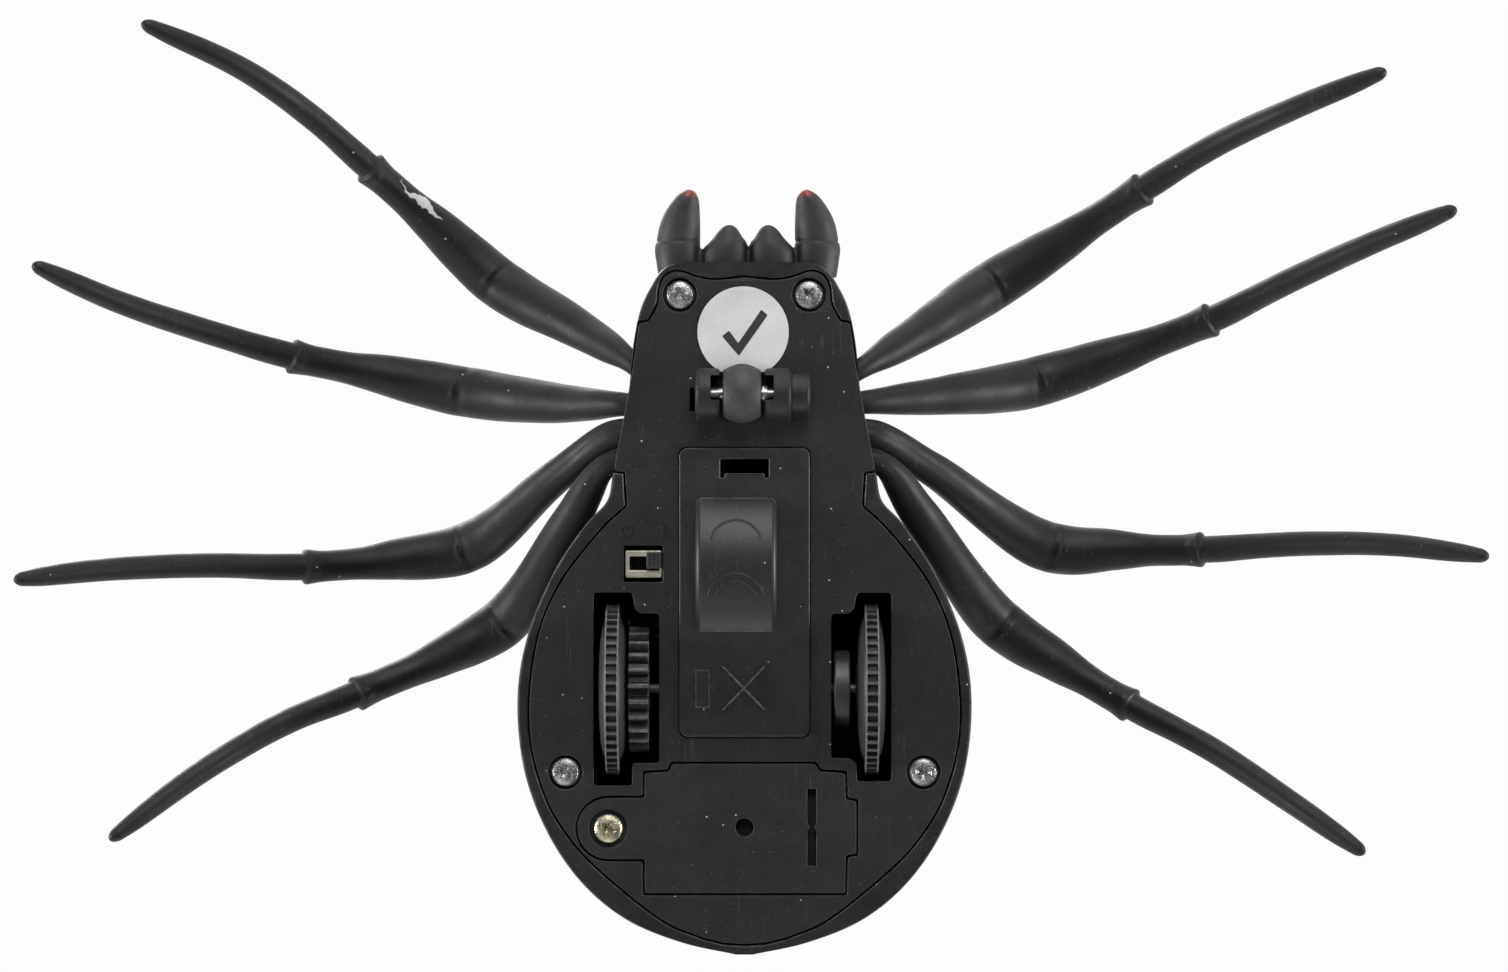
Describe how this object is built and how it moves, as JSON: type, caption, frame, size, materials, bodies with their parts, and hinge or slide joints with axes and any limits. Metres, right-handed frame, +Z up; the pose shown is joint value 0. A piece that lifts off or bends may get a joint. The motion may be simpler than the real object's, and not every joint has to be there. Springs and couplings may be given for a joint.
{
  "type": "wheeled toy spider robot",
  "caption": "Remote-controlled toy spider: soft curved legs on a hollow body, driven by a geared motor through two wheels under the abdomen, with a nose roller and a battery bay.",
  "frame": {"origin": "on the floor, on the body's centre plane, 1 mm from the centre of the overall box, because the left legs reach 2 mm further out than the right ones; the wheels and the nose roller stand on Z = 0", "axes": "+Z up through the back, -Y towards the head and jaws, +X towards the spider's own left"},
  "size_m": [0.2088, 0.1328, 0.0404],
  "materials": {
    "chassis_plastic": "fine-textured black moulded ABS",
    "frame_plastic": "black moulded ABS",
    "shell_plastic": "satin black moulded ABS",
    "jaw_plastic": "satin black moulded PVC with red-painted tips",
    "soft_leg": "soft black PVC with a low sheen",
    "wheel_plastic": "dark grey moulded plastic",
    "tyre": "dark grey knurled rubber",
    "gear_plastic": "black acetal",
    "roller_rubber": "dark grey rubber",
    "steel": "bright steel",
    "screw_steel": "zinc-plated steel",
    "brass": "yellow-passivated",
    "switch_metal": "tinned steel",
    "sticker": "pearly film",
    "board": "green resist",
    "ir_window": "dark filter resin",
    "lamp_red": "clear red resin",
    "cell_steel": "nickel-plated can",
    "red_wire": "PVC insulation",
    "black_wire": "PVC insulation"
  },
  "bodies": {
    "spider_body": {"bottom_cover": "chassis_plastic", "centre_cover": "chassis_plastic", "gearbox_frame": "frame_plastic", "upper_shell": "shell_plastic", "jaws": "jaw_plastic", "leg_right_1": "soft_leg", "leg_right_2": "soft_leg", "leg_right_3": "soft_leg", "leg_right_4": "soft_leg", "leg_left_1": "soft_leg", "leg_left_2": "soft_leg", "leg_left_3": "soft_leg", "leg_left_4": "soft_leg", "gear_pin": "steel", "motor": "steel", "roller_pin": "steel", "contact_plate": "steel", "contact_spring": "steel", "cover_screw_1": "screw_steel", "cover_screw_2": "screw_steel", "cover_screw_3": "screw_steel", "cover_screw_4": "screw_steel", "switch_case": "switch_metal", "check_sticker": "sticker", "circuit_board": "board", "ir_receiver": "ir_window", "eye_lamp_right": "lamp_red", "eye_lamp_left": "lamp_red", "button_cell_1": "cell_steel", "button_cell_2": "cell_steel", "button_cell_3": "cell_steel", "button_cell_4": "cell_steel", "motor_wire_red": "red_wire", "battery_wire_red": "red_wire", "motor_wire_black": "black_wire", "battery_wire_black": "black_wire"},
    "drive_axle": {"axle": "steel", "wheel_right": "wheel_plastic", "tyre_right": "tyre", "wheel_gear": "gear_plastic", "axle_collar": "gear_plastic"},
    "left_wheel": {"wheel_left": "wheel_plastic", "tyre_left": "tyre"},
    "reduction": {"reduction_gear": "gear_plastic"},
    "motor_rotor": {"motor_shaft": "steel", "motor_pinion": "brass"},
    "roller": {"nose_roller": "roller_rubber"},
    "switch_knob": {"switch_slider": "gear_plastic"},
    "battery_hatch": {"battery_door": "chassis_plastic", "door_screw": "brass"}
  },
  "joints": [
    {"name": "drive_wheel_spin", "type": "hinge", "parent": "spider_body", "child": "drive_axle", "pos_m": [0, 0.0288, 0.0125], "axis": [1, 0, 0], "continuous": true},
    {"name": "left_wheel_spin", "type": "hinge", "parent": "spider_body", "child": "left_wheel", "pos_m": [0, 0.0288, 0.0125], "axis": [1, 0, 0], "continuous": true},
    {"name": "reduction_spin", "type": "hinge", "parent": "spider_body", "child": "reduction", "pos_m": [0, 0.01957, 0.01898], "axis": [1, 0, 0], "continuous": true},
    {"name": "motor_spin", "type": "hinge", "parent": "spider_body", "child": "motor_rotor", "pos_m": [0, 0.0109, 0.0149], "axis": [1, 0, 0], "continuous": true},
    {"name": "nose_roller_spin", "type": "hinge", "parent": "spider_body", "child": "roller", "pos_m": [0, -0.0134, 0.00425], "axis": [1, 0, 0], "continuous": true},
    {"name": "switch_slide", "type": "slide", "parent": "spider_body", "child": "switch_knob", "axis": [-1, 0, 0], "range_m": [0, 0.0022]},
    {"name": "battery_door_pull", "type": "slide", "parent": "spider_body", "child": "battery_hatch", "axis": [0, 0, -1], "range_m": [0, 0.03]}
  ],
  "couplings": [
    {"joint": "reduction_spin", "follows": "drive_wheel_spin", "ratio": -3},
    {"joint": "motor_spin", "follows": "drive_wheel_spin", "ratio": 11.25}
  ]
}
